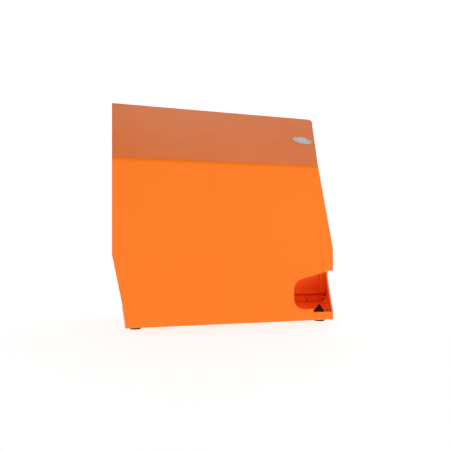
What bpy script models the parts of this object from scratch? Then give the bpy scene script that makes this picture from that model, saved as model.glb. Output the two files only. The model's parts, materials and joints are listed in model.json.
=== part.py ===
"""Sloped-top cable protector housing, in folded sheet metal, with a hinged cover and a push latch.

X runs along the front face, Y into the depth and Z up. Inside this file a point is measured
from the lower left corner of the front face on the floor; the frame empty then moves the whole
housing so that its origin is the middle of its footprint. All sizes are in metres.
"""
import math

import bmesh
import bpy
from mathutils import Matrix, Vector

MM = 0.001
COLLECTION = "cable_protector_housing"

# Driving dimensions
SHEET = 2.0 * MM
GAP = 0.3 * MM
DEPTH = 139.0 * MM
BASE_Z = 8.8 * MM
CREASE_Z = 175.0 * MM
SLOPE = math.radians(34.0)
BEND_RADIUS = 7.0 * MM
BEND_STEPS = 6

# Front face outline
LEFT_FOOT_X = 12.6 * MM
LEFT_LOW_Z = 17.9 * MM
LEFT_BEND_Z = 81.0 * MM
RIGHT_X = 234.0 * MM
RIGHT_BEND_Z = 85.6 * MM
CREASE_RIGHT_X = 216.3 * MM
TOP_RIGHT_X = 268.1 * MM
TOP_RIGHT_Y = 129.8 * MM
TOP_CORNER_RADIUS = 9.0 * MM
RIGHT_REAR_X = 296.0 * MM
RIGHT_TOP_REAR_X = 269.0 * MM
REAR_TOP_Z = 261.0 * MM

# Cable exit, an open notch in the lower right corner
EXIT_LEFT_X = 188.5 * MM
EXIT_FLOOR_Z = 21.2 * MM
EXIT_STEP_X = 210.6 * MM
EXIT_STRIP_Z = 17.4 * MM
EXIT_RADIUS = 11.4 * MM
EXIT_ROOF_RISE = math.radians(14.5)
EXIT_ROOF_Z = 53.4 * MM
EXIT_CORNER_RADIUS = 3.5 * MM
ARC_STEPS = 8

# Side panels and their screwed flanges
FLANGE = 12.0 * MM
UPSTAND = 8.0 * MM
SIDE_FRONT_Y = SHEET + GAP
SIDE_REAR_Y = DEPTH - SHEET - GAP
SIDE_TOP_CLEARANCE = 1.9 * MM
SIDE_TOP_X = CREASE_RIGHT_X + 1.6 * MM
SIDE_EXIT_REAR_Y = 126.0 * MM
SIDE_EXIT_SILL_RISE = 30.6 * MM
SIDE_EXIT_ROOF_Z = 62.0 * MM
SIDE_EXIT_ROOF_FALL = 7.0 * MM
SIDE_EXIT_LEAD = 5.0 * MM
SIDE_EXIT_SPAN_X = (220.0 * MM, 310.0 * MM)

# Base tray, whose upstands stop short of the front and the rear
TRAY_RISE_Y = 16.0 * MM
TRAY_FALL_Y = 124.0 * MM
TRAY_CLEARANCE = 0.2 * MM

# Cable rail: a low band, a groove and a lip, as depths in front of the rear panel's flange
RAIL_SPAN_X = (30.0 * MM, 288.7 * MM)
RAIL_BAND = 3.0 * MM
RAIL_BAND_Z = 19.4 * MM
RAIL_GROOVE = 1.2 * MM
RAIL_GROOVE_Z = 22.0 * MM
RAIL_LIP = 5.0 * MM
RAIL_TOP_Z = 26.4 * MM

# Feet
FOOT_HEIGHT = BASE_Z - GAP
FOOT_RADIUS = 7.0 * MM
FOOT_STEM = 2.9 * MM
FOOT_BARB = 6.0 * MM
FOOT_TIP_Z = 19.4 * MM
FOOT_PLACES = {
    "foot_front_left": (24.5 * MM, 45.2 * MM),
    "foot_front_right": (239.1 * MM, 45.2 * MM),
    "foot_rear_left": (26.0 * MM, 114.0 * MM),
    "foot_rear_right": (226.0 * MM, 114.0 * MM),
}

# Screws
HEAD_RADIUS = 2.6 * MM
HEAD_HEIGHT = 1.9 * MM
SHANK_RADIUS = 1.4 * MM
SHANK_LENGTH = 8.0 * MM
FLUSH_LENGTH = 4.0 * MM
HOLE_RADIUS = 1.75 * MM
RAIL_SCREW_X = {"rail_screw_inner": 262.0 * MM, "rail_screw_outer": 285.5 * MM}
RAIL_SCREW_Z = 16.2 * MM
REAR_SCREW_LOWER_Z = 70.0 * MM
REAR_SCREW_UPPER_Z = 230.0 * MM
REAR_SCREW_LOWER_X = {"left": 9.2 * MM, "right": 288.5 * MM}
REAR_SCREW_UPPER_X = {"left": 7.0 * MM, "right": 266.5 * MM}
SIDE_SCREW_Z = 15.2 * MM
SIDE_SCREW_Y = {"front": 28.0 * MM, "rear": 94.0 * MM}

# Hinges
HINGE_Y = 142.6 * MM
HINGE_Z = 262.5 * MM
BARREL_RADIUS = 2.8 * MM
PIN_RADIUS = 1.1 * MM
PIN_HOLE = 1.4 * MM
LEAF = 1.5 * MM
LEAF_WIDTH = 40.0 * MM
BARREL_END = 12.0 * MM
LEAF_FOOT_Z = 236.0 * MM
LEAF_TOP_Z = 258.5 * MM
BARREL_GAP = 0.4 * MM
PIN_OVERHANG = 0.6 * MM
# The moving leaf lies along the slope, and its tab joins it to the barrel
MOVING_LEAF_REACH = (137.0 * MM, 163.0 * MM)
TAB_FRONT_Y = 134.9 * MM
TAB_SPAN_Z = (261.6 * MM, 263.1 * MM)
HINGE_PLACES = {"left": 40.0 * MM, "right": 180.0 * MM}

# Push latch, in a frame whose Z is the outward normal of the sloping top
LATCH_X = 224.2 * MM
LATCH_Y = 61.0 * MM
BEZEL_RADIUS = 11.5 * MM
BEZEL_HEIGHT = 0.6 * MM
BEZEL_RIM = 0.45 * MM
BARREL_OUTER = 9.7 * MM
BARREL_INNER = 8.9 * MM
BARREL_DEPTH = 16.0 * MM
BARREL_FLOOR = 1.5 * MM
BUTTON_RADIUS = 8.5 * MM
BUTTON_SKIRT = 3.0 * MM
BUTTON_STEM = 3.0 * MM
STEM_HOLE = BUTTON_STEM + 0.4 * MM
STEM_TIP = 19.5 * MM
SPRING_RADIUS = 5.5 * MM
SPRING_WIRE = 0.5 * MM
SPRING_TURNS = 5
SPRING_POINTS = 10
SPRING_TOP = 7.0 * MM
NUT_RADIUS = 13.4 * MM
NUT_THICK = 3.0 * MM
GUIDE_WALL = 1.5 * MM
GUIDE_LENGTH = 18.0 * MM
BOLT_LENGTH = 26.0 * MM
BOLT_REACH = 16.0 * MM
BOLT_HALF = 6.0 * MM
BOLT_TOP = 20.5 * MM
BOLT_THICK = 3.0 * MM
BOLT_NOSE = 3.0 * MM
BOLT_TRAVEL = 3.2 * MM
KEEPER_HALF = 6.0 * MM
KEEPER_CLEARANCE = 0.4 * MM

# Half the length of a drill that passes through one sheet
DRILL_REACH = 6.0 * MM
TURN_STEPS = 24
SCREW_STEPS = 12
SMOOTH_ANGLE = math.radians(35.0)


# ---------------------------------------------------------------- scene and helpers

def clear_scene():
    for item in list(bpy.data.objects):
        bpy.data.objects.remove(item, do_unlink=True)


def new_collection(name):
    group = bpy.data.collections.new(name)
    bpy.context.scene.collection.children.link(group)
    return group


def add_material(name, colour, roughness, metallic):
    material = bpy.data.materials.new(name)
    material.use_nodes = True
    shader = material.node_tree.nodes["Principled BSDF"]
    shader.inputs["Base Color"].default_value = (*colour, 1.0)
    shader.inputs["Roughness"].default_value = roughness
    shader.inputs["Metallic"].default_value = metallic
    return material


def add_empty(name, location=(0.0, 0.0, 0.0), rotation=(0.0, 0.0, 0.0), parent=None):
    empty = bpy.data.objects.new(name, None)
    empty.location = location
    empty.rotation_euler = rotation
    empty.parent = parent
    PARTS.objects.link(empty)
    return empty


def add_object(name, mesh, parent, location=(0.0, 0.0, 0.0), rotation=(0.0, 0.0, 0.0)):
    item = bpy.data.objects.new(name, mesh)
    item.location = location
    item.rotation_euler = rotation
    item.parent = parent
    PARTS.objects.link(item)
    return item


def give_material(item, slot):
    item.data.materials.clear()
    colour, roughness, metallic = FINISHES[slot]
    item.data.materials.append(add_material(item.name + "_" + slot, colour, roughness, metallic))
    return item


def mesh_from(bm, name):
    mesh = bpy.data.meshes.new(name)
    bm.to_mesh(mesh)
    bm.free()
    return mesh


def folded_sheet(name, faces, parent, outward):
    """One folded sheet: outer faces as lists of points, thickened inwards."""
    bm = bmesh.new()
    for points in faces:
        bm.faces.new([bm.verts.new(point) for point in points])
    bmesh.ops.remove_doubles(bm, verts=bm.verts, dist=0.01 * MM)
    bm.faces.ensure_lookup_table()
    bmesh.ops.recalc_face_normals(bm, faces=bm.faces)
    if bm.faces[0].normal.dot(Vector(outward)) < 0.0:
        bmesh.ops.reverse_faces(bm, faces=bm.faces)
    item = add_object(name, mesh_from(bm, name), parent)
    thick = item.modifiers.new("sheet_thickness", "SOLIDIFY")
    thick.thickness = SHEET
    thick.offset = -1.0
    thick.solidify_mode = "NON_MANIFOLD"
    thick.nonmanifold_thickness_mode = "CONSTRAINTS"
    return item


def plate(name, outlines, thickness, parent, location, rotation):
    """A flat outline, with any holes, extruded to its thickness and made a mesh."""
    curve = bpy.data.curves.new(name, "CURVE")
    curve.dimensions = "2D"
    curve.fill_mode = "BOTH"
    curve.extrude = thickness / 2.0
    for outline in outlines:
        spline = curve.splines.new("POLY")
        spline.points.add(len(outline) - 1)
        for point, (x, y) in zip(spline.points, outline):
            point.co = (x, y, 0.0, 1.0)
        spline.use_cyclic_u = True
    shape = bpy.data.objects.new(name + "_outline", curve)
    PARTS.objects.link(shape)
    bpy.context.view_layer.update()
    mesh = bpy.data.meshes.new_from_object(shape.evaluated_get(bpy.context.evaluated_depsgraph_get()))
    bpy.data.objects.remove(shape, do_unlink=True)
    bm = bmesh.new()
    bm.from_mesh(mesh)
    bmesh.ops.remove_doubles(bm, verts=bm.verts, dist=0.001 * MM)
    bm.to_mesh(mesh)
    bm.free()
    return add_object(name, mesh, parent, location, rotation)


def box(name, low, high, parent, rotation=(0.0, 0.0, 0.0)):
    low = Vector(low)
    high = Vector(high)
    bm = bmesh.new()
    bmesh.ops.create_cube(bm, size=1.0)
    bmesh.ops.scale(bm, vec=high - low, verts=bm.verts)
    bmesh.ops.translate(bm, vec=(high + low) / 2.0, verts=bm.verts)
    return add_object(name, mesh_from(bm, name), parent, rotation=rotation)


def cylinder(name, radius, start, end, parent, segments=TURN_STEPS):
    start = Vector(start)
    end = Vector(end)
    bm = bmesh.new()
    bmesh.ops.create_cone(bm, cap_ends=True, segments=segments, radius1=radius, radius2=radius,
                          depth=(end - start).length)
    turn = (end - start).to_track_quat("Z", "Y").to_matrix().to_4x4()
    bmesh.ops.transform(bm, matrix=Matrix.Translation((start + end) / 2.0) @ turn, verts=bm.verts)
    return add_object(name, mesh_from(bm, name), parent)


def turned_mesh(name, profile, closed, steps=TURN_STEPS):
    """Turn a profile of (radius, height) points, running down its outer side, about Z."""
    bm = bmesh.new()
    verts = [bm.verts.new((radius, 0.0, height)) for radius, height in profile]
    for first, second in zip(verts, verts[1:]):
        bm.edges.new((first, second))
    if closed:
        bm.edges.new((verts[-1], verts[0]))
    mesh = mesh_from(bm, name)
    shape = bpy.data.objects.new(name + "_profile", mesh)
    PARTS.objects.link(shape)
    screw = shape.modifiers.new("turn", "SCREW")
    screw.steps = steps
    screw.render_steps = steps
    screw.use_merge_vertices = True
    screw.merge_threshold = 0.00001
    bpy.context.view_layer.update()
    solid = bpy.data.meshes.new_from_object(shape.evaluated_get(bpy.context.evaluated_depsgraph_get()))
    bpy.data.objects.remove(shape, do_unlink=True)
    solid.shade_smooth()
    solid.set_sharp_from_angle(angle=SMOOTH_ANGLE)
    return solid


def hide_cutter(cutter):
    PARTS.objects.unlink(cutter)
    CUTTERS.objects.link(cutter)
    cutter.hide_render = True
    cutter.display_type = "WIRE"
    return cutter


def combine(item, other, operation):
    """Join another shape to a piece, or cut it away."""
    hide_cutter(other)
    step = item.modifiers.new(operation.lower() + "_" + other.name, "BOOLEAN")
    step.operation = operation
    step.object = other
    step.solver = "EXACT"
    return item


def drill(item, radius, centre, direction, reach, parent, segments=TURN_STEPS):
    centre = Vector(centre)
    direction = Vector(direction)
    name = item.name + "_hole_" + str(len(item.modifiers))
    tool = cylinder(name, radius, centre - direction * reach, centre + direction * reach, parent, segments)
    return combine(item, tool, "DIFFERENCE")


def arc(centre, radius, start, end, steps):
    """Points on an arc in a plane, from one angle to another, in degrees."""
    points = []
    for step in range(steps + 1):
        angle = math.radians(start + (end - start) * step / steps)
        points.append((centre[0] + radius * math.cos(angle), centre[1] + radius * math.sin(angle)))
    return points


def slope_height(y):
    """Height of the outer face of the sloping top."""
    return CREASE_Z + math.tan(SLOPE) * y


def side_front_top():
    """Top of a side panel's front edge, just under the cover."""
    return slope_height(SIDE_FRONT_Y) - SHEET / math.cos(SLOPE) - SIDE_TOP_CLEARANCE


def right_wall_x(y):
    """Outer face of the upright, splayed part of the right side."""
    return RIGHT_X + (RIGHT_REAR_X - RIGHT_X) * y / DEPTH


# ---------------------------------------------------------------- housing pieces

def exit_outline():
    """The notch, from the front strip round to the right edge above it."""
    corner_z = EXIT_FLOOR_Z + EXIT_RADIUS
    roof_angle = math.degrees(EXIT_ROOF_RISE)
    roof_centre = (EXIT_LEFT_X + EXIT_RADIUS, EXIT_ROOF_Z - EXIT_RADIUS * math.cos(EXIT_ROOF_RISE))
    points = [(RIGHT_X, EXIT_STRIP_Z), (EXIT_STEP_X, EXIT_STRIP_Z), (EXIT_STEP_X, EXIT_FLOOR_Z)]
    points += arc((EXIT_LEFT_X + EXIT_RADIUS, corner_z), EXIT_RADIUS, 270.0, 180.0, ARC_STEPS)
    points += arc(roof_centre, EXIT_RADIUS, 180.0, 90.0 + roof_angle, ARC_STEPS)
    start_x, start_z = points[-1]
    corner_x = RIGHT_X - EXIT_CORNER_RADIUS
    rise = (corner_x - start_x) * math.tan(EXIT_ROOF_RISE)
    corner = (corner_x, start_z + rise + EXIT_CORNER_RADIUS)
    points += arc(corner, EXIT_CORNER_RADIUS, 270.0 + roof_angle, 360.0, ARC_STEPS // 2)
    return points


def bend_line(angle):
    """Depth and height of the outer face on the bend between the front and the sloping top."""
    start_z = CREASE_Z - BEND_RADIUS * math.tan((math.pi / 2.0 - SLOPE) / 2.0)
    return (BEND_RADIUS * (1.0 - math.cos(angle)), start_z + BEND_RADIUS * math.sin(angle))


def make_cover(parent):
    """The front face and the sloping top, folded from one sheet, with the corner notch."""
    turn = math.pi / 2.0 - SLOPE
    lines = [bend_line(turn * step / BEND_STEPS) for step in range(BEND_STEPS + 1)]
    widths = [CREASE_RIGHT_X + (TOP_RIGHT_X - CREASE_RIGHT_X) * y / TOP_RIGHT_Y for y, z in lines]
    front = [(LEFT_FOOT_X, BASE_Z), (RIGHT_X, BASE_Z)] + exit_outline()
    front += [(RIGHT_X, RIGHT_BEND_Z), (widths[0], lines[0][1]), (0.0, lines[0][1])]
    front += [(0.0, LEFT_BEND_Z), (LEFT_FOOT_X, LEFT_LOW_Z)]
    faces = [[(x, 0.0, z) for x, z in front]]
    for low, high, low_x, high_x in zip(lines, lines[1:], widths, widths[1:]):
        faces.append([(0.0, *low), (low_x, *low), (high_x, *high), (0.0, *high)])
    top = [(0.0, lines[-1][0]), (widths[-1], lines[-1][0])]
    side = Vector((TOP_RIGHT_X, TOP_RIGHT_Y))
    before = (Vector(top[1]) - side).normalized() * TOP_CORNER_RADIUS
    after = (Vector((0.0, DEPTH)) - side).normalized() * TOP_CORNER_RADIUS
    for step in range(ARC_STEPS + 1):
        share = step / ARC_STEPS
        corner = side + before * (1.0 - share) ** 2 + after * share ** 2
        top.append(tuple(corner))
    top.append((0.0, DEPTH))
    faces.append([(x, y, slope_height(y)) for x, y in top])
    cover = folded_sheet("folded_cover", faces, parent, (0.0, -1.0, 0.0))
    normal = Vector((0.0, -math.sin(SLOPE), math.cos(SLOPE)))
    centre = (LATCH_X, LATCH_Y, slope_height(LATCH_Y))
    return drill(cover, BARREL_OUTER + GAP, centre, normal, DRILL_REACH, parent)


def make_left_panel(parent):
    """The left side, tucked in at its foot, with a flange behind for the rear screws."""
    heights = [(LEFT_FOOT_X, BASE_Z), (LEFT_FOOT_X, LEFT_LOW_Z), (0.0, LEFT_BEND_Z)]
    front = [(x, SIDE_FRONT_Y, z) for x, z in heights] + [(0.0, SIDE_FRONT_Y, side_front_top())]
    rear = [(x, SIDE_REAR_Y, z) for x, z in heights] + [(0.0, SIDE_REAR_Y, REAR_TOP_Z)]
    flange = [(x + FLANGE, y, z) for x, y, z in rear]
    faces = []
    for first, second in ((front, rear), (rear, flange)):
        for row in range(len(heights)):
            faces.append([first[row], second[row], second[row + 1], first[row + 1]])
    return folded_sheet("left_side_panel", faces, parent, (-1.0, 0.0, 0.0))


def make_right_panel(parent):
    """The splayed right side, with the cable exit cut back into it and a rear flange."""
    front = [(right_wall_x(SIDE_FRONT_Y), BASE_Z), (right_wall_x(SIDE_FRONT_Y), RIGHT_BEND_Z)]
    front = [(x, SIDE_FRONT_Y, z) for x, z in front] + [(SIDE_TOP_X, SIDE_FRONT_Y, side_front_top())]
    rear = [(right_wall_x(SIDE_REAR_Y), BASE_Z), (right_wall_x(SIDE_REAR_Y), RIGHT_BEND_Z)]
    rear = [(x, SIDE_REAR_Y, z) for x, z in rear] + [(RIGHT_TOP_REAR_X, SIDE_REAR_Y, REAR_TOP_Z)]
    flange = [(x - FLANGE, y, z) for x, y, z in rear]
    faces = [[front[0], rear[0], rear[1], front[1]]]
    faces.append([front[1], rear[2], front[2]])
    faces.append([front[1], rear[1], rear[2]])
    for row in range(2):
        faces.append([rear[row], flange[row], flange[row + 1], rear[row + 1]])
    panel = folded_sheet("right_side_panel", faces, parent, (1.0, 0.0, 0.0))
    sill_z = EXIT_STRIP_Z + SIDE_EXIT_SILL_RISE * SIDE_EXIT_REAR_Y / DEPTH
    outline = [(-SIDE_EXIT_LEAD, EXIT_STRIP_Z), (0.0, EXIT_STRIP_Z), (SIDE_EXIT_REAR_Y, sill_z)]
    outline += [(SIDE_EXIT_REAR_Y, SIDE_EXIT_ROOF_Z - SIDE_EXIT_ROOF_FALL), (0.0, SIDE_EXIT_ROOF_Z)]
    outline += [(-SIDE_EXIT_LEAD, SIDE_EXIT_ROOF_Z)]
    start_x, end_x = SIDE_EXIT_SPAN_X
    tool = plate("side_exit_cut", [outline], end_x - start_x, parent, ((start_x + end_x) / 2.0, 0.0, 0.0),
                 (math.pi / 2.0, 0.0, math.pi / 2.0))
    return combine(panel, tool, "DIFFERENCE")


def make_rear_panel(parent):
    """The flat rear panel, screwed to the side flanges."""
    outline = [(LEFT_FOOT_X, BASE_Z), (RIGHT_REAR_X, BASE_Z), (RIGHT_REAR_X, RIGHT_BEND_Z)]
    outline += [(RIGHT_TOP_REAR_X, REAR_TOP_Z), (0.0, REAR_TOP_Z), (0.0, LEFT_BEND_Z)]
    outline += [(LEFT_FOOT_X, LEFT_LOW_Z)]
    return plate("rear_panel", [outline], SHEET, parent, (0.0, DEPTH - SHEET / 2.0, 0.0),
                 (math.pi / 2.0, 0.0, 0.0))


def make_base_tray(parent):
    """The floor, with a low upstand inside each side panel."""
    left = LEFT_FOOT_X + SHEET + GAP
    inset = (SHEET + GAP) / math.cos(math.atan2(RIGHT_REAR_X - RIGHT_X, DEPTH)) + TRAY_CLEARANCE
    front_y = SHEET + GAP
    rear_y = SIDE_REAR_Y - SHEET - GAP
    low_z = BASE_Z
    high_z = BASE_Z + SHEET + UPSTAND
    edge = [(right_wall_x(y) - inset, y) for y in (front_y, TRAY_RISE_Y, TRAY_FALL_Y, rear_y)]
    floor = [(left, front_y)] + edge + [(left, rear_y), (left, TRAY_FALL_Y), (left, TRAY_RISE_Y)]
    faces = [[(x, y, low_z) for x, y in floor]]
    for near, far in (((left, TRAY_RISE_Y), (left, TRAY_FALL_Y)), (edge[1], edge[2])):
        faces.append([(*near, low_z), (*near, high_z), (*far, high_z), (*far, low_z)])
    tray = folded_sheet("base_tray", faces, parent, (0.0, 0.0, -1.0))
    for x, y in FOOT_PLACES.values():
        drill(tray, FOOT_STEM + GAP, (x, y, BASE_Z), (0.0, 0.0, 1.0), DRILL_REACH, parent)
    return tray


def make_cable_rail(parent):
    """A solid profile along the foot of the rear panel: a low band, a groove and a lip above it."""
    back = SIDE_REAR_Y - SHEET - GAP
    low = BASE_Z + SHEET + GAP
    outline = [(back, low), (back - RAIL_BAND, low), (back - RAIL_BAND, RAIL_BAND_Z)]
    outline += [(back - RAIL_GROOVE, RAIL_BAND_Z), (back - RAIL_GROOVE, RAIL_GROOVE_Z)]
    outline += [(back - RAIL_LIP, RAIL_GROOVE_Z), (back - RAIL_LIP, RAIL_TOP_Z), (back, RAIL_TOP_Z)]
    start_x, end_x = RAIL_SPAN_X
    return plate("cable_rail", [outline], end_x - start_x, parent, ((start_x + end_x) / 2.0, 0.0, 0.0),
                 (math.pi / 2.0, 0.0, math.pi / 2.0))


def make_feet(parent):
    """Push-in rubber feet: a pad below the floor and a cone-shaped barb above it."""
    low = BASE_Z + SHEET + GAP
    profile = [(0.0, FOOT_TIP_Z), (0.5 * MM, FOOT_TIP_Z - 0.2 * MM), (FOOT_BARB, low), (FOOT_STEM, low)]
    profile += [(FOOT_STEM, FOOT_HEIGHT), (FOOT_RADIUS - 0.5 * MM, FOOT_HEIGHT)]
    profile += [(FOOT_RADIUS, FOOT_HEIGHT - 0.5 * MM), (FOOT_RADIUS - 1.0 * MM, 0.8 * MM)]
    profile += [(FOOT_RADIUS - 1.8 * MM, 0.0), (0.0, 0.0)]
    for name, (x, y) in FOOT_PLACES.items():
        foot = add_object(name, turned_mesh(name, profile, False), parent, (x, y, 0.0))
        give_material(foot, "rubber")


def screw_mesh(length):
    profile = [(0.0, HEAD_HEIGHT), (HEAD_RADIUS * 0.55, HEAD_HEIGHT * 0.94)]
    profile += [(HEAD_RADIUS * 0.9, HEAD_HEIGHT * 0.6), (HEAD_RADIUS, HEAD_HEIGHT * 0.2)]
    profile += [(HEAD_RADIUS, 0.0), (SHANK_RADIUS, 0.0)]
    profile += [(SHANK_RADIUS, -length + 0.6 * MM), (SHANK_RADIUS * 0.6, -length), (0.0, -length)]
    return turned_mesh("pan_head_screw", profile, False, SCREW_STEPS)


def add_screw(name, mesh, seat, outward, through, finish, parent):
    """A pan head screw on its seat, with a clear hole in every sheet that it passes through."""
    outward = Vector(outward).normalized()
    place = Vector(seat) + outward * GAP
    screw = add_object(name, mesh.copy(), parent, place, outward.to_track_quat("Z", "Y").to_euler())
    give_material(screw, finish)
    for item in through:
        drill(item, HOLE_RADIUS, seat, outward, SHANK_LENGTH + 2.0 * MM, parent, SCREW_STEPS)


def add_screws(parent, left, right, rear, tray, rail):
    mesh = screw_mesh(SHANK_LENGTH)
    flush = screw_mesh(FLUSH_LENGTH)
    rail_face = SIDE_REAR_Y - SHEET - GAP - RAIL_BAND
    for name, x in RAIL_SCREW_X.items():
        through = [rail, rear]
        if name == "rail_screw_outer":
            through.append(right)
        add_screw(name, mesh, (x, rail_face, RAIL_SCREW_Z), (0.0, -1.0, 0.0), through, "inner_paint", parent)
    for side, flange in (("left", left), ("right", right)):
        seat = (REAR_SCREW_LOWER_X[side], DEPTH, REAR_SCREW_LOWER_Z)
        add_screw("rear_screw_lower_" + side, mesh, seat, (0.0, 1.0, 0.0), [rear, flange], "steel", parent)
        seat = (REAR_SCREW_UPPER_X[side], DEPTH, REAR_SCREW_UPPER_Z)
        add_screw("rear_screw_upper_" + side, mesh, seat, (0.0, 1.0, 0.0), [rear, flange], "steel", parent)
    # The side screws are driven from inside the tray's upstands and end flush with the outer faces.
    upstand_face = LEFT_FOOT_X + 2.0 * SHEET + GAP
    normal = Vector((-DEPTH, RIGHT_REAR_X - RIGHT_X, 0.0)).normalized()
    inset = (2.0 * SHEET + GAP) / -normal.x + TRAY_CLEARANCE
    for place, y in SIDE_SCREW_Y.items():
        name = "left_panel_screw_" + place
        seat = (upstand_face, y, SIDE_SCREW_Z)
        add_screw(name, flush, seat, (1.0, 0.0, 0.0), [left, tray], "inner_paint", parent)
        name = "right_panel_screw_" + place
        seat = (right_wall_x(y) - inset, y, SIDE_SCREW_Z)
        add_screw(name, flush, seat, normal, [right, tray], "inner_paint", parent)


# ---------------------------------------------------------------- hinges

def make_fixed_leaf(side, start_x, parent):
    """The leaf on the rear panel, with a barrel at each end of the pin."""
    name = "hinge_leaf_fixed_" + side
    back = DEPTH + GAP
    leaf = box(name, (start_x, back, LEAF_FOOT_Z), (start_x + LEAF_WIDTH, back + LEAF, LEAF_TOP_Z), parent)
    for end, x in (("a", start_x), ("b", start_x + LEAF_WIDTH - BARREL_END)):
        low = (x, back, LEAF_TOP_Z - 2.0 * MM)
        tab = box(name + "_tab_" + end, low, (x + BARREL_END, back + LEAF, HINGE_Z), parent)
        combine(leaf, tab, "UNION")
        start = Vector((x, HINGE_Y, HINGE_Z))
        finish = start + Vector((BARREL_END, 0.0, 0.0))
        barrel = cylinder(name + "_barrel_" + end, BARREL_RADIUS, start, finish, parent)
        combine(leaf, barrel, "UNION")
    centre = (start_x + LEAF_WIDTH / 2.0, HINGE_Y, HINGE_Z)
    drill(leaf, PIN_HOLE, centre, (1.0, 0.0, 0.0), LEAF_WIDTH, parent)
    return give_material(leaf, "steel")


def make_moving_leaf(side, start_x, parent):
    """The leaf under the sloping top, with one barrel between the fixed ones."""
    name = "hinge_leaf_moving_" + side
    top = -(SHEET + GAP)
    near, far = MOVING_LEAF_REACH
    low = (start_x, near, top - LEAF)
    leaf = box(name, low, (start_x + LEAF_WIDTH, far, top), parent, rotation=(SLOPE, 0.0, 0.0))
    leaf.location = (0.0, 0.0, CREASE_Z)
    inner = start_x + BARREL_END + BARREL_GAP
    outer = start_x + LEAF_WIDTH - BARREL_END - BARREL_GAP
    tab_low, tab_high = TAB_SPAN_Z
    tab = box(name + "_tab", (inner, TAB_FRONT_Y, tab_low), (outer, HINGE_Y, tab_high), parent)
    start = (inner, HINGE_Y, HINGE_Z)
    barrel = cylinder(name + "_barrel", BARREL_RADIUS, start, (outer, HINGE_Y, HINGE_Z), parent)
    combine(leaf, tab, "UNION")
    combine(leaf, barrel, "UNION")
    centre = (start_x + LEAF_WIDTH / 2.0, HINGE_Y, HINGE_Z)
    drill(leaf, PIN_HOLE, centre, (1.0, 0.0, 0.0), LEAF_WIDTH, parent)
    return give_material(leaf, "steel")


def make_hinges(parent):
    for side, start_x in HINGE_PLACES.items():
        make_fixed_leaf(side, start_x, parent)
        make_moving_leaf(side, start_x, parent)
        start = (start_x - PIN_OVERHANG, HINGE_Y, HINGE_Z)
        end = (start_x + LEAF_WIDTH + PIN_OVERHANG, HINGE_Y, HINGE_Z)
        pin = cylinder("hinge_pin_" + side, PIN_RADIUS, start, end, parent)
        pin.data.shade_smooth()
        pin.data.set_sharp_from_angle(angle=SMOOTH_ANGLE)
        give_material(pin, "steel")


# ---------------------------------------------------------------- push latch

def make_latch_barrel(latch):
    """The round bezel on the sloping top, with the barrel that passes through it."""
    floor = BARREL_FLOOR - BARREL_DEPTH
    profile = [(BARREL_INNER + 0.2 * MM, BEZEL_HEIGHT), (BEZEL_RADIUS - 0.8 * MM, BEZEL_HEIGHT)]
    profile += [(BEZEL_RADIUS, BEZEL_RIM), (BEZEL_RADIUS, GAP), (BARREL_OUTER, GAP)]
    profile += [(BARREL_OUTER, -BARREL_DEPTH), (STEM_HOLE, -BARREL_DEPTH), (STEM_HOLE, floor)]
    profile += [(BARREL_INNER, floor), (BARREL_INNER, BEZEL_HEIGHT - 0.2 * MM)]
    barrel = add_object("latch_barrel", turned_mesh("latch_barrel", profile, True), latch)
    return give_material(barrel, "bright_trim")


def make_push_button(latch):
    profile = [(0.0, 0.55 * MM), (BUTTON_RADIUS * 0.7, 0.5 * MM), (BUTTON_RADIUS - 0.5 * MM, 0.35 * MM)]
    profile += [(BUTTON_RADIUS, 0.0), (BUTTON_RADIUS, -BUTTON_SKIRT), (BUTTON_STEM, -BUTTON_SKIRT)]
    profile += [(BUTTON_STEM, -STEM_TIP + 1.5 * MM), (BUTTON_STEM - 1.5 * MM, -STEM_TIP), (0.0, -STEM_TIP)]
    button = add_object("push_button", turned_mesh("push_button", profile, False), latch)
    return give_material(button, "bright_trim")


def make_latch_nut(latch):
    outline = arc((0.0, 0.0), NUT_RADIUS, 0.0, 300.0, 5)
    hole = arc((0.0, 0.0), BARREL_OUTER + GAP, 0.0, 360.0 - 360.0 / TURN_STEPS, TURN_STEPS - 1)
    place = (0.0, 0.0, -SHEET - GAP - NUT_THICK / 2.0)
    nut = plate("latch_nut", [outline, hole], NUT_THICK, latch, place, (0.0, 0.0, 0.0))
    return give_material(nut, "steel")


def make_bolt_guide(latch):
    """A short square tube under the barrel, in which the bolt slides."""
    half = BOLT_HALF + GAP + GUIDE_WALL
    top = -BARREL_DEPTH - GAP
    low = -BOLT_TOP - BOLT_THICK - GAP - GUIDE_WALL
    outer = [(-half, low), (half, low), (half, top), (-half, top)]
    inner_half = half - GUIDE_WALL
    inner = [(-inner_half, low + GUIDE_WALL), (inner_half, low + GUIDE_WALL)]
    inner += [(inner_half, top - GUIDE_WALL), (-inner_half, top - GUIDE_WALL)]
    guide = plate("bolt_guide", [outer, inner], GUIDE_LENGTH, latch, (0.0, 0.0, 0.0),
                  (math.pi / 2.0, 0.0, math.pi / 2.0))
    drill(guide, STEM_HOLE, (0.0, 0.0, top), (0.0, 0.0, 1.0), 2.0 * GUIDE_WALL, latch)
    return give_material(guide, "steel")


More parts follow.
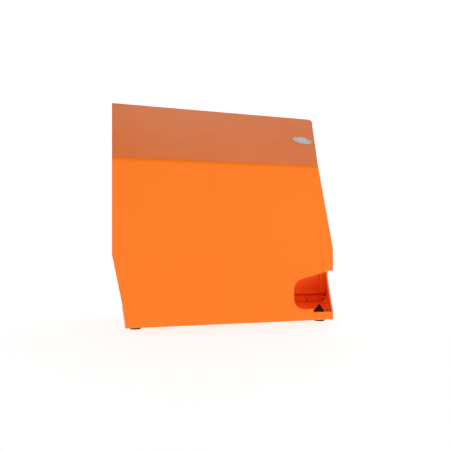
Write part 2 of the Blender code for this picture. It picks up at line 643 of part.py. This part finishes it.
def make_latch_bolt(latch):
    """The sliding bolt: a flat bar with a window that the button's stem works in."""
    tail = BOLT_REACH - BOLT_LENGTH
    nose_x = BOLT_REACH - BOLT_NOSE
    nose_y = BOLT_HALF - BOLT_NOSE
    outline = [(tail, -BOLT_HALF), (nose_x, -BOLT_HALF), (BOLT_REACH, -nose_y)]
    outline += [(BOLT_REACH, nose_y), (nose_x, BOLT_HALF), (tail, BOLT_HALF)]
    window = [(-STEM_HOLE, -STEM_HOLE), (STEM_HOLE + BOLT_TRAVEL, -STEM_HOLE)]
    window += [(STEM_HOLE + BOLT_TRAVEL, STEM_HOLE), (-STEM_HOLE, STEM_HOLE)]
    bolt = plate("latch_bolt", [outline, window], BOLT_THICK, latch,
                 (0.0, 0.0, -BOLT_TOP - BOLT_THICK / 2.0), (0.0, 0.0, 0.0))
    return give_material(bolt, "steel")


def make_latch_spring(latch):
    """The button's return spring, drawn at its pressed length."""
    low = BARREL_FLOOR - BARREL_DEPTH + GAP + SPRING_WIRE
    high = -SPRING_TOP
    curve = bpy.data.curves.new("latch_spring", "CURVE")
    curve.dimensions = "3D"
    curve.bevel_depth = SPRING_WIRE
    curve.bevel_resolution = 1
    curve.use_fill_caps = True
    spline = curve.splines.new("POLY")
    count = SPRING_TURNS * SPRING_POINTS
    spline.points.add(count)
    for step, point in enumerate(spline.points):
        angle = 2.0 * math.pi * step / SPRING_POINTS
        height = low + (high - low) * step / count
        point.co = (SPRING_RADIUS * math.cos(angle), SPRING_RADIUS * math.sin(angle), height, 1.0)
    spring = add_object("latch_spring", curve, latch)
    return give_material(spring, "steel")


def make_keeper(parent):
    """The block on the right side panel that the bolt's nose stands beside."""
    centre_y = LATCH_Y + BOLT_TOP * math.sin(SLOPE)
    centre_z = slope_height(LATCH_Y) - BOLT_TOP * math.cos(SLOPE)
    half = KEEPER_HALF
    low_x = LATCH_X + BOLT_REACH + KEEPER_CLEARANCE
    keeper = box("latch_keeper", (low_x, centre_y - half, centre_z - half),
                 (low_x + 1.0 * MM, centre_y + half, centre_z + half), parent)
    low_front = Vector((right_wall_x(SIDE_FRONT_Y), SIDE_FRONT_Y, RIGHT_BEND_Z))
    top_front = Vector((SIDE_TOP_X, SIDE_FRONT_Y, side_front_top()))
    top_rear = Vector((RIGHT_TOP_REAR_X, SIDE_REAR_Y, REAR_TOP_Z))
    normal = (top_rear - low_front).cross(top_front - low_front).normalized()
    for vert in keeper.data.vertices:
        if vert.co.x > low_x + 0.5 * MM:
            away = (low_front - vert.co).dot(normal) / normal.x
            vert.co.x += away - (SHEET + 2.0 * GAP) / normal.x
    return give_material(keeper, "steel")


# ---------------------------------------------------------------- assembly

def build():
    frame = add_empty("frame", (-RIGHT_REAR_X / 2.0, -(HINGE_Y + BARREL_RADIUS) / 2.0, 0.0))
    latch_place = (LATCH_X, LATCH_Y, slope_height(LATCH_Y))
    latch = add_empty("latch_frame", latch_place, (SLOPE, 0.0, 0.0), frame)
    cover = make_cover(frame)
    left = make_left_panel(frame)
    right = make_right_panel(frame)
    rear = make_rear_panel(frame)
    tray = make_base_tray(frame)
    rail = make_cable_rail(frame)
    for panel in (cover, left, right, rear, tray):
        give_material(panel, "orange_paint")
    give_material(rail, "inner_paint")
    make_feet(frame)
    add_screws(frame, left, right, rear, tray, rail)
    make_hinges(frame)
    make_latch_barrel(latch)
    make_push_button(latch)
    make_latch_nut(latch)
    make_bolt_guide(latch)
    make_latch_bolt(latch)
    make_latch_spring(latch)
    make_keeper(frame)


FINISHES = {
    "orange_paint": ((0.95, 0.20, 0.02), 0.42, 0.0),
    "inner_paint": ((0.85, 0.15, 0.02), 0.45, 0.0),
    "rubber": ((0.012, 0.012, 0.014), 0.75, 0.0),
    "steel": ((0.55, 0.56, 0.57), 0.35, 1.0),
    "bright_trim": ((0.62, 0.60, 0.59), 0.3, 0.2),
}

clear_scene()
PARTS = new_collection(COLLECTION)
CUTTERS = new_collection(COLLECTION + "_cutters")
build()
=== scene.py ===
"""Looks of the cable protector housing: powder-coated sheet, rubber feet, zinc and satin metal fittings.

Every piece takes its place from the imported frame. Sizes are in metres.
"""
import json
import math

import bmesh
import bpy
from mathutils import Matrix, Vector


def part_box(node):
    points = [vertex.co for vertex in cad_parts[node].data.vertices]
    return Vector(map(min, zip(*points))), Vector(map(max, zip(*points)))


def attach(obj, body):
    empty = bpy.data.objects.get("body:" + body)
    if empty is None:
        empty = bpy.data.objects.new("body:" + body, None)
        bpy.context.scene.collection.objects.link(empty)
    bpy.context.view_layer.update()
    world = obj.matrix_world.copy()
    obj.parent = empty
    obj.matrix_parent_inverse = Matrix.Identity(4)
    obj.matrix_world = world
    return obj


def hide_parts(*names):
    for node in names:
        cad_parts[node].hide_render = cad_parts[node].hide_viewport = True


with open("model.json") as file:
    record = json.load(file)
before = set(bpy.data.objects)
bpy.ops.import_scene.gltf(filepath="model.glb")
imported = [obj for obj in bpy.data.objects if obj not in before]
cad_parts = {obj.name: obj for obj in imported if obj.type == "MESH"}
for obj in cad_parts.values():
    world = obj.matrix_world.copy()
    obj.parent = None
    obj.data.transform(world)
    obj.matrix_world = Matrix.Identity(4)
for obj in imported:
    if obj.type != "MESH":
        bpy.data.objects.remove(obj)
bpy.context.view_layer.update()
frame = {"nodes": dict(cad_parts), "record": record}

MM = 0.001
SMOOTH_ANGLE = math.radians(35.0)
TURN_STEPS = 48

# Sheet pieces: the rounding that a powder-coated edge has
SHEET_EDGES = {
    "folded_cover": 0.95 * MM,
    "left_side_panel": 0.4 * MM,
    "right_side_panel": 0.4 * MM,
    "rear_panel": 0.4 * MM,
    "base_tray": 0.35 * MM,
    "cable_rail": 0.35 * MM,
}
# Sheet pieces whose inner faces take a redder copy of the coat, painted bounce light, and the way that those
# faces look
INNER_FACES = {
    "rear_panel": (0.0, -1.0, 0.0),
    "base_tray": (0.0, 0.0, 1.0),
    "right_side_panel": (-1.0, 0.0, 0.0),
    "left_side_panel": (1.0, 0.0, 0.0),
}
FITTING_EDGES = {
    "hinge_leaf_fixed_left": 0.2 * MM,
    "hinge_leaf_fixed_right": 0.2 * MM,
    "hinge_leaf_moving_left": 0.2 * MM,
    "hinge_leaf_moving_right": 0.2 * MM,
    "hinge_pin_left": 0.15 * MM,
    "hinge_pin_right": 0.15 * MM,
    "latch_nut": 0.25 * MM,
    "bolt_guide": 0.2 * MM,
    "latch_bolt": 0.25 * MM,
    "latch_keeper": 0.3 * MM,
    "latch_spring": 0.0,
}

# How closely a face has to look inward to take the redder copy of the coat with painted bounce light
INNER_FACE_SHARE = 0.8
# Joining of the CAD mesh, and the steps of a rounded edge
JOIN_DISTANCE = 0.002 * MM
FLAT_ANGLE = math.radians(1.0)
EDGE_SEGMENTS = 3

# Screws: those of the side panels are shorter than the rest
SCREW_HEAD = 2.6 * MM
SCREW_HEAD_HEIGHT = 1.9 * MM
SCREW_HEAD_EDGE = 0.35 * MM
SCREW_SOCKET = 0.95 * MM
SCREW_SOCKET_FLOOR = 0.8 * MM
SCREW_SHANK = 1.4 * MM
SCREW_GROOVE = 0.25 * MM
SCREW_PITCH = 0.6 * MM
SCREW_PLAIN = 0.4 * MM
PANEL_SCREW_LENGTH = 4.0 * MM
SCREW_LENGTH = 8.0 * MM
# The ways that the heads face; the last one is square to the splayed side
SCREW_DIRECTIONS = {
    "rail_screw": (0.0, -1.0, 0.0),
    "rear_screw": (0.0, 1.0, 0.0),
    "left_panel_screw": (1.0, 0.0, 0.0),
    "right_panel_screw": (-0.139, 0.062, 0.0),
}

# Feet
PAD_TOP = 8.5 * MM
BARB_FOOT = 11.1 * MM
BARB_RADIUS = 6.0 * MM
FOOT_NECK = 2.9 * MM

# The latch: the slope's angle, and the measures of the bezel and the button
SLOPE = math.radians(34.0)
BEZEL_RADIUS = 11.5 * MM
BEZEL_EDGE = 0.45 * MM
BEZEL_LIP = 0.6 * MM
BEZEL_BORE = 8.9 * MM
BARREL_RADIUS = 9.7 * MM
BARREL_DEPTH = 16.0 * MM
BARREL_FLOOR = 14.5 * MM
STEM_BORE = 3.4 * MM
BUTTON_RADIUS = 8.5 * MM
BUTTON_DEPTH = 3.0 * MM
STEM_RADIUS = 3.0 * MM
STEM_DEPTH = 19.5 * MM

# Stage
STAGE_REACH = 3.0
STAGE_BEND = 0.8
STAGE_HEIGHT = 2.0
STAGE_BEND_STEPS = 16
STAGE_TURN_STEPS = 96
STAGE_GREY = (0.35, 0.35, 0.35)
STAGE_GLOW = 0.8
WORLD_GLOW = 0.18

# Lights; the last one is inside the housing and stands for light that bounces in there
LIGHTS = (
    {
        "name": "key_softbox",
        "place": (0.75, -1.35, 0.22),
        "target": (0.06, -0.05, 0.08),
        "size": (0.9, 0.36),
        "energy": 2.8,
    },
    {
        "name": "front_softbox",
        "place": (-0.6, -1.8, 0.4),
        "target": (0.0, 0.0, 0.12),
        "size": (1.2, 0.6),
        "energy": 1.2,
    },
    {
        "name": "right_low_fill",
        "place": (1.25, -0.35, 0.09),
        "target": (0.1, 0.03, 0.035),
        "size": (0.5, 0.15),
        "energy": 4.0,
    },
    {
        "name": "overhead_panel",
        "place": (0.55, 0.8, 1.85),
        "target": (0.0, 0.05, 0.2),
        "size": (1.9, 1.1),
        "energy": 6.0,
        "in_gloss": True,
    },
    {
        "name": "inner_fill",
        "place": (0.02, 0.0, 0.13),
        "target": (0.11, 0.06, 0.03),
        "size": (0.12, 0.09),
        "energy": 0.08,
    },
)

# Camera: distance to the face, height, turn towards the middle, lens, and shift of the picture
EYE_DISTANCE = 0.455
EYE_HEIGHT = 0.0923
FACE_TURN = math.radians(14.02)
LENS = 36.4
SENSOR_WIDTH = 36.0
NEAR_CLIP = 0.01
RISE = 0.0372


# ---------------------------------------------------------------- node helpers

def new_material(name):
    material = bpy.data.materials.new(name)
    material.use_nodes = True
    tree = material.node_tree
    return material, tree, tree.nodes["Principled BSDF"]


def add_node(tree, kind, **values):
    node = tree.nodes.new(kind)
    for name, value in values.items():
        setattr(node, name, value)
    return node


def noise(tree, scale, detail=4.0, roughness=0.5, stretch=(1.0, 1.0, 1.0)):
    """A noise in the piece's own space, in which one unit is a metre."""
    place = add_node(tree, "ShaderNodeTexCoord")
    mapping = add_node(tree, "ShaderNodeMapping")
    mapping.inputs["Scale"].default_value = stretch
    tree.links.new(place.outputs["Object"], mapping.inputs["Vector"])
    node = add_node(tree, "ShaderNodeTexNoise")
    node.inputs["Scale"].default_value = scale
    node.inputs["Detail"].default_value = detail
    node.inputs["Roughness"].default_value = roughness
    tree.links.new(mapping.outputs["Vector"], node.inputs["Vector"])
    return node.outputs["Fac"]


def remap(tree, value, low, high, start=0.3, end=0.7):
    node = add_node(tree, "ShaderNodeMapRange")
    node.inputs["From Min"].default_value = start
    node.inputs["From Max"].default_value = end
    node.inputs["To Min"].default_value = low
    node.inputs["To Max"].default_value = high
    tree.links.new(value, node.inputs["Value"])
    return node.outputs["Result"]


def mix_colour(tree, share, first, second):
    """Mix two colours; each is a tuple or another node's colour."""
    node = add_node(tree, "ShaderNodeMix", data_type="RGBA")
    if isinstance(share, float):
        node.inputs["Factor"].default_value = share
    else:
        tree.links.new(share, node.inputs["Factor"])
    for socket, colour in ((node.inputs[6], first), (node.inputs[7], second)):
        if isinstance(colour, tuple):
            socket.default_value = (*colour, 1.0)
        else:
            tree.links.new(colour, socket)
    return node.outputs[2]


def add_bump(tree, shader, heights):
    """Chain bumps of (height value, strength, distance) into the shader's normal."""
    normal = None
    for height, strength, distance in heights:
        bump = add_node(tree, "ShaderNodeBump")
        bump.inputs["Strength"].default_value = strength
        bump.inputs["Distance"].default_value = distance
        tree.links.new(height, bump.inputs["Height"])
        if normal is not None:
            tree.links.new(normal, bump.inputs["Normal"])
        normal = bump.outputs["Normal"]
    tree.links.new(normal, shader.inputs["Normal"])


def edge_share(tree, start, end):
    """1 on outer edges and 0 on flat stretches."""
    geometry = add_node(tree, "ShaderNodeNewGeometry")
    return remap(tree, geometry.outputs["Pointiness"], 0.0, 1.0, start, end)


# ---------------------------------------------------------------- materials

def powder_coat(name, base, deep, pale):
    """Satin powder coat: orange-peel bump, a fine grain, faint mottling, and thin wear on edges."""
    material, tree, shader = new_material(name)
    mottle = remap(tree, noise(tree, 14.0, 3.0), 0.0, 1.0)
    grain = remap(tree, noise(tree, 2600.0, 2.0, 0.6), 0.0, 1.0)
    colour = mix_colour(tree, mottle, base, deep)
    colour = mix_colour(tree, remap(tree, grain, 0.0, 0.05, 0.55, 1.0), colour, pale)
    scuffs = remap(tree, noise(tree, 420.0, 5.0, 0.7), 0.0, 1.0, 0.5, 0.72)
    edges = edge_share(tree, 0.53, 0.6)
    worn = add_node(tree, "ShaderNodeMath", operation="MULTIPLY")
    tree.links.new(scuffs, worn.inputs[0])
    tree.links.new(edges, worn.inputs[1])
    soft = add_node(tree, "ShaderNodeMath", operation="MULTIPLY")
    tree.links.new(worn.outputs[0], soft.inputs[0])
    soft.inputs[1].default_value = 0.35
    colour = mix_colour(tree, soft.outputs[0], colour, pale)
    tree.links.new(colour, shader.inputs["Base Color"])
    rough = remap(tree, noise(tree, 60.0, 6.0, 0.6), 0.36, 0.46)
    tree.links.new(rough, shader.inputs["Roughness"])
    shader.inputs["Specular IOR Level"].default_value = 0.2
    add_bump(tree, shader, [(noise(tree, 520.0, 2.0, 0.45), 0.10, 0.00012), (grain, 0.05, 0.00003)])
    return material


def rubber():
    """Moulded rubber: matt black, with a fine pitted skin and a little dust."""
    material, tree, shader = new_material("moulded_rubber")
    dust = remap(tree, noise(tree, 180.0, 6.0, 0.65), 0.0, 0.35, 0.5, 0.8)
    colour = mix_colour(tree, dust, (0.011, 0.011, 0.013), (0.05, 0.046, 0.043))
    tree.links.new(colour, shader.inputs["Base Color"])
    rough = remap(tree, noise(tree, 300.0, 4.0), 0.62, 0.86)
    tree.links.new(rough, shader.inputs["Roughness"])
    add_bump(tree, shader, [(noise(tree, 1800.0, 3.0, 0.6), 0.25, 0.00006)])
    return material


def zinc():
    """Zinc-plated steel: fine drawn lines, cloudy plating and small scratches."""
    material, tree, shader = new_material("zinc_plated_steel")
    cloud = remap(tree, noise(tree, 90.0, 4.0, 0.6), 0.0, 1.0)
    colour = mix_colour(tree, cloud, (0.50, 0.51, 0.53), (0.66, 0.66, 0.65))
    tree.links.new(colour, shader.inputs["Base Color"])
    shader.inputs["Metallic"].default_value = 1.0
    rough = remap(tree, noise(tree, 700.0, 5.0, 0.65, (0.15, 1.0, 1.0)), 0.24, 0.44)
    tree.links.new(rough, shader.inputs["Roughness"])
    lines = noise(tree, 2400.0, 2.0, 0.6, (0.04, 1.0, 1.0))
    add_bump(tree, shader, [(lines, 0.12, 0.00003)])
    return material


def satin_trim():
    """Satin metal of the latch: rings left by turning, and a cloudy lacquer."""
    material, tree, shader = new_material("satin_turned_metal")
    cloud = remap(tree, noise(tree, 240.0, 4.0, 0.6), 0.0, 1.0)
    colour = mix_colour(tree, cloud, (0.57, 0.54, 0.52), (0.63, 0.60, 0.58))
    tree.links.new(colour, shader.inputs["Base Color"])
    shader.inputs["Metallic"].default_value = 0.55
    rough = remap(tree, noise(tree, 500.0, 4.0, 0.6), 0.30, 0.42)
    tree.links.new(rough, shader.inputs["Roughness"])
    place = add_node(tree, "ShaderNodeTexCoord")
    rings = add_node(tree, "ShaderNodeTexWave", wave_type="RINGS", rings_direction="Z")
    rings.inputs["Scale"].default_value = 700.0
    rings.inputs["Distortion"].default_value = 0.6
    tree.links.new(place.outputs["Object"], rings.inputs["Vector"])
    add_bump(tree, shader, [(rings.outputs["Fac"], 0.10, 0.00003)])
    return material


def studio_white(name, colour):
    """Painted studio floor that glows a little, with a faint unevenness."""
    material, tree, shader = new_material(name)
    tone = remap(tree, noise(tree, 3.0, 3.0), 0.0, 1.0)
    deeper = tuple(value * 0.985 for value in colour)
    tree.links.new(mix_colour(tree, tone, colour, deeper), shader.inputs["Base Color"])
    shader.inputs["Roughness"].default_value = 0.8
    shader.inputs["Specular IOR Level"].default_value = 0.2
    shader.inputs["Emission Color"].default_value = (1.0, 1.0, 1.0, 1.0)
    shader.inputs["Emission Strength"].default_value = STAGE_GLOW
    return material


# ---------------------------------------------------------------- mesh helpers

def body_name(node):
    for body, nodes in frame["record"]["behaviour"]["bodies"].items():
        if node in nodes:
            return body
    raise ValueError(node)


def slot_name(node):
    for entry in frame["record"]["subparts"]:
        if entry["node"] == node:
            return entry["material_slot"]
    raise ValueError(node)


def stand_for(piece, node, material):
    """Give a piece its finish, put it on the node's body and let it stand for the node."""
    piece.data.materials.clear()
    piece.data.materials.append(material)
    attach(piece, body_name(node))
    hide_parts(node)


def link_mesh(name, bm):
    mesh = bpy.data.meshes.new(name)
    bm.to_mesh(mesh)
    bm.free()
    piece = bpy.data.objects.new(name, mesh)
    bpy.context.scene.collection.objects.link(piece)
    return piece


def refine(node, width, material, bounce_tint_material=None):
    """A copy of a CAD node with joined flats and rounded edges.

    The inner faces of the nodes in INNER_FACES take a redder copy of the coat: painted bounce light from
    inside the housing.
    """
    bm = bmesh.new()
    bm.from_mesh(frame["nodes"][node].data)
    bmesh.ops.remove_doubles(bm, verts=bm.verts, dist=JOIN_DISTANCE)
    bmesh.ops.dissolve_limit(bm, angle_limit=FLAT_ANGLE, verts=bm.verts, edges=bm.edges)
    piece = link_mesh(node + "_finish", bm)
    piece.data.shade_smooth()
    piece.data.set_sharp_from_angle(angle=SMOOTH_ANGLE)
    if width > 0.0:
        bevel = piece.modifiers.new("soft_edges", "BEVEL")
        bevel.width = width
        bevel.segments = EDGE_SEGMENTS
        bevel.limit_method = "ANGLE"
        bevel.angle_limit = SMOOTH_ANGLE
        bevel.harden_normals = True
    stand_for(piece, node, material)
    # Inward faces take the redder copy of the coat: painted bounce light
    if node in INNER_FACES:
        inward = Vector(INNER_FACES[node])
        piece.data.materials.append(bounce_tint_material)
        for face in piece.data.polygons:
            if face.normal.dot(inward) > INNER_FACE_SHARE:
                face.material_index = 1


def hex_reach(angle):
    """How far a hexagon of unit half-width reaches at an angle."""
    sixth = math.pi / 3.0
    return 1.0 / math.cos((angle + sixth / 2.0) % sixth - sixth / 2.0)


def lathe(name, profile, steps=TURN_STEPS, closed=True):
    """Turn (radius, height, shape) points, from the top to the bottom, about Z."""
    bm = bmesh.new()
    rings = []
    for radius, height, shape in profile:
        if radius == 0.0:
            rings.append([bm.verts.new((0.0, 0.0, height))])
            continue
        ring = []
        for step in range(steps):
            angle = 2.0 * math.pi * step / steps
            reach = radius * (hex_reach(angle) if shape == "hex" else 1.0)
            ring.append(bm.verts.new((reach * math.cos(angle), reach * math.sin(angle), height)))
        rings.append(ring)
    for upper, lower in zip(rings, rings[1:]):
        for step in range(steps):
            after = (step + 1) % steps
            if len(upper) == 1:
                bm.faces.new((upper[0], lower[step], lower[after]))
            elif len(lower) == 1:
                bm.faces.new((upper[step], lower[0], upper[after]))
            else:
                bm.faces.new((upper[step], lower[step], lower[after], upper[after]))
    if closed and len(rings[0]) > 1:
        for step in range(steps):
            after = (step + 1) % steps
            bm.faces.new((rings[-1][step], rings[0][step], rings[0][after], rings[-1][after]))
    piece = link_mesh(name, bm)
    piece.data.shade_smooth()
    piece.data.set_sharp_from_angle(angle=SMOOTH_ANGLE)
    return piece


def rounded(corners, radius, steps=4):
    """Round each inner corner of a profile of (radius, height) points."""
    points = [(*corners[0], "round")]
    for before, corner, after in zip(corners, corners[1:], corners[2:]):
        here = Vector(corner)
        back = Vector(before) - here
        ahead = Vector(after) - here
        reach = min(radius, back.length * 0.45, ahead.length * 0.45)
        start = back.normalized() * reach
        end = ahead.normalized() * reach
        for step in range(steps + 1):
            share = step / steps
            point = here + start * (1.0 - share) ** 2 + end * share ** 2
            points.append((point.x, point.y, "round"))
    points.append((*corners[-1], "round"))
    return points


# ---------------------------------------------------------------- pieces

def make_screw(node, outward, material):
    """A pan head screw with a hexagon socket and a threaded shank, in the CAD screw's place."""
    low, high = (Vector(corner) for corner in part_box(node))
    outward = Vector(outward).normalized()
    length = PANEL_SCREW_LENGTH if "panel_screw" in node else SCREW_LENGTH
    middle = (low + high) / 2.0
    seat = middle + outward * ((length - SCREW_HEAD_HEIGHT) / 2.0)
    profile = [(0.0, 0.7 * MM, "round"), (SCREW_SOCKET, SCREW_SOCKET_FLOOR, "hex")]
    profile += [(SCREW_SOCKET, SCREW_HEAD_HEIGHT - 0.1 * MM, "hex")]
    profile += [(SCREW_SOCKET + 0.12 * MM, SCREW_HEAD_HEIGHT, "hex")]
    dome = SCREW_HEAD_HEIGHT - SCREW_HEAD_EDGE
    for step in range(7):
        angle = math.radians(62.0 - 62.0 * step / 6.0)
        height = SCREW_HEAD_EDGE + dome * math.sin(angle) * 1.03
        profile.append((SCREW_HEAD * math.cos(angle), height, "round"))
    profile += [(SCREW_HEAD, 0.1 * MM, "round"), (SCREW_HEAD - 0.1 * MM, 0.0, "round")]
    profile += [(SCREW_SHANK, 0.0, "round")]
    turns = round(length / SCREW_PITCH)
    threaded = length - 3.0 * SCREW_PLAIN
    for turn in range(turns):
        top = -SCREW_PLAIN - threaded * turn / turns
        groove = top - threaded / turns / 2.0
        profile += [(SCREW_SHANK, top, "round"), (SCREW_SHANK - SCREW_GROOVE, groove, "round")]
    profile += [(SCREW_SHANK * 0.6, -length, "round"), (0.0, -length, "round")]
    piece = lathe(node + "_finish", profile)
    piece.rotation_mode = "QUATERNION"
    piece.rotation_quaternion = outward.to_track_quat("Z", "Y")
    piece.location = seat
    stand_for(piece, node, material)


def make_screws(plain, coated):
    """Screws in the slot inner_paint are coated with the sheet's redder inner copy, which holds painted
    bounce light; the others are plain.
    """
    for node in frame["nodes"]:
        coat = coated if slot_name(node) == "inner_paint" else plain
        for start, outward in SCREW_DIRECTIONS.items():
            if node.startswith(start):
                make_screw(node, outward, coat)


def make_feet(material):
    """Push-in feet: a pad with a ribbed side, a neck, and a barb like a cone."""
    for node in frame["nodes"]:
        if not node.startswith("foot_"):
            continue
        low, high = (Vector(corner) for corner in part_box(node))
        radius = (high.x - low.x) / 2.0
        corners = [(0.0, high.z), (0.9 * MM, high.z)]
        corners += [(BARB_RADIUS, BARB_FOOT + 0.3 * MM), (BARB_RADIUS - 0.4 * MM, BARB_FOOT)]
        corners += [(FOOT_NECK, BARB_FOOT), (FOOT_NECK, PAD_TOP)]
        corners += [(radius, PAD_TOP), (radius, PAD_TOP - 2.0 * MM)]
        corners += [(radius - 0.45 * MM, PAD_TOP - 2.4 * MM), (radius - 0.6 * MM, 3.4 * MM)]
        corners += [(radius - 0.2 * MM, 3.0 * MM), (radius - 1.0 * MM, 0.0)]
        corners += [(radius - 2.6 * MM, 0.0), (radius - 3.0 * MM, 0.6 * MM), (0.0, 0.6 * MM)]
        piece = lathe(node + "_finish", rounded(corners, 0.5 * MM, 3))
        piece.location = ((low.x + high.x) / 2.0, (low.y + high.y) / 2.0, 0.0)
        stand_for(piece, node, material)


def latch_place():
    """The middle of the bezel where it meets the slope's outer face."""
    low, high = (Vector(corner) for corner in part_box("latch_barrel"))
    normal = Vector((0.0, -math.sin(SLOPE), math.cos(SLOPE)))
    rise = Vector((0.0, math.cos(SLOPE), math.sin(SLOPE)))
    # The rim's front point fixes Y, its highest point fixes Z
    y = low.y + BEZEL_RADIUS * rise.y - BEZEL_EDGE * normal.y
    z = high.z - BEZEL_RADIUS * rise.z - BEZEL_EDGE * normal.z
    return Vector(((low.x + high.x) / 2.0, y, z))


def make_latch(material):
    """The bezel with a rolled lip, and the button with a shallow finger dish."""
    place = latch_place()
    corners = [(BEZEL_BORE, -1.2 * MM), (BEZEL_BORE, 0.4 * MM), (BEZEL_BORE + 0.3 * MM, BEZEL_LIP)]
    corners += [(BEZEL_RADIUS - 0.9 * MM, BEZEL_LIP), (BEZEL_RADIUS, BEZEL_EDGE), (BEZEL_RADIUS, 0.3 * MM)]
    corners += [(BARREL_RADIUS, 0.3 * MM), (BARREL_RADIUS, -BARREL_DEPTH), (STEM_BORE, -BARREL_DEPTH)]
    corners += [(STEM_BORE, -BARREL_FLOOR), (BEZEL_BORE, -BARREL_FLOOR), (BEZEL_BORE, -3.0 * MM)]
    bezel = lathe("latch_barrel_finish", rounded(corners, 0.35 * MM, 4))
    bezel.location = place
    bezel.rotation_euler = (SLOPE, 0.0, 0.0)
    stand_for(bezel, "latch_barrel", material)
    corners = [(0.0, 0.2 * MM), (BUTTON_RADIUS * 0.35, 0.22 * MM)]
    corners += [(BUTTON_RADIUS * 0.62, 0.32 * MM), (BUTTON_RADIUS * 0.82, 0.5 * MM)]
    corners += [(BUTTON_RADIUS - 0.45 * MM, 0.45 * MM), (BUTTON_RADIUS, 0.1 * MM)]
    corners += [(BUTTON_RADIUS, -BUTTON_DEPTH), (STEM_RADIUS, -BUTTON_DEPTH)]
    corners += [(STEM_RADIUS, -STEM_DEPTH + 1.5 * MM), (STEM_RADIUS / 2.0, -STEM_DEPTH), (0.0, -STEM_DEPTH)]
    button = lathe("push_button_finish", rounded(corners, 0.5 * MM, 4))
    button.location = place
    button.rotation_euler = (SLOPE, 0.0, 0.0)
    stand_for(button, "push_button", material)


# ---------------------------------------------------------------- stage

def make_stage():
    """A round floor that curves up into a wall on all sides."""
    profile = [(STAGE_REACH, STAGE_HEIGHT, "round")]
    for step in range(STAGE_BEND_STEPS + 1):
        angle = math.pi / 2.0 * step / STAGE_BEND_STEPS
        radius = STAGE_REACH - STAGE_BEND + STAGE_BEND * math.cos(angle)
        profile.append((radius, STAGE_BEND - STAGE_BEND * math.sin(angle), "round"))
    profile.append((0.0, 0.0, "round"))
    sweep = lathe("studio_sweep", profile, STAGE_TURN_STEPS, False)
    sweep.data.materials.append(studio_white("studio_sweep_paint", STAGE_GREY))


def add_area(name, place, target, size, energy, in_gloss=False):
    """A soft rectangular light that the camera doesn't see, and gloss only if asked."""
    light = bpy.data.lights.new(name, "AREA")
    light.shape = "RECTANGLE"
    light.size = size[0]
    light.size_y = size[1]
    light.energy = energy
    item = bpy.data.objects.new(name, light)
    item.location = place
    item.visible_camera = False
    item.visible_glossy = in_gloss
    item.rotation_euler = (Vector(target) - Vector(place)).to_track_quat("-Z", "Y").to_euler()
    bpy.context.scene.collection.objects.link(item)


def make_lights():
    world = bpy.data.worlds.new("studio")
    world.use_nodes = True
    world.node_tree.nodes["Background"].inputs["Color"].default_value = (1.0, 1.0, 1.0, 1.0)
    world.node_tree.nodes["Background"].inputs["Strength"].default_value = WORLD_GLOW
    bpy.context.scene.world = world
    # The plain transform keeps the coat's strong orange and the white ground as they are
    bpy.context.scene.view_settings.view_transform = "Standard"
    for light in LIGHTS:
        add_area(**light)


def make_camera():
    low, high = (Vector(corner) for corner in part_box("folded_cover"))
    data = bpy.data.cameras.new("camera")
    data.lens = LENS
    data.sensor_width = SENSOR_WIDTH
    data.shift_y = RISE
    data.clip_start = NEAR_CLIP
    camera = bpy.data.objects.new("camera", data)
    camera.location = (low.x, low.y - EYE_DISTANCE, EYE_HEIGHT)
    camera.rotation_euler = (math.pi / 2.0, 0.0, -FACE_TURN)
    bpy.context.scene.collection.objects.link(camera)
    bpy.context.scene.camera = camera


# ---------------------------------------------------------------- assembly

make_camera()
make_lights()
make_stage()

orange = powder_coat("orange_powder_coat", (0.95, 0.195, 0.009), (0.93, 0.187, 0.008), (0.96, 0.30, 0.08))
# A redder copy of the orange for inner faces, the rail and inner screws: painted bounce light from inside
# the housing
inner_orange_painted_bounce = powder_coat("inner_coat_painted_bounce", (0.95, 0.13, 0.009), (0.93, 0.12, 0.008), (0.96, 0.22, 0.05))
black_rubber = rubber()
zinc_steel = zinc()
trim = satin_trim()

for sheet_node, sheet_edge in SHEET_EDGES.items():
    # The rail takes the redder copy of the coat all over: painted bounce light
    coat = inner_orange_painted_bounce if sheet_node == "cable_rail" else orange
    refine(sheet_node, sheet_edge, coat, inner_orange_painted_bounce)
for fitting_node, fitting_edge in FITTING_EDGES.items():
    refine(fitting_node, fitting_edge, zinc_steel)
make_screws(zinc_steel, inner_orange_painted_bounce)
make_feet(black_rubber)
make_latch(trim)
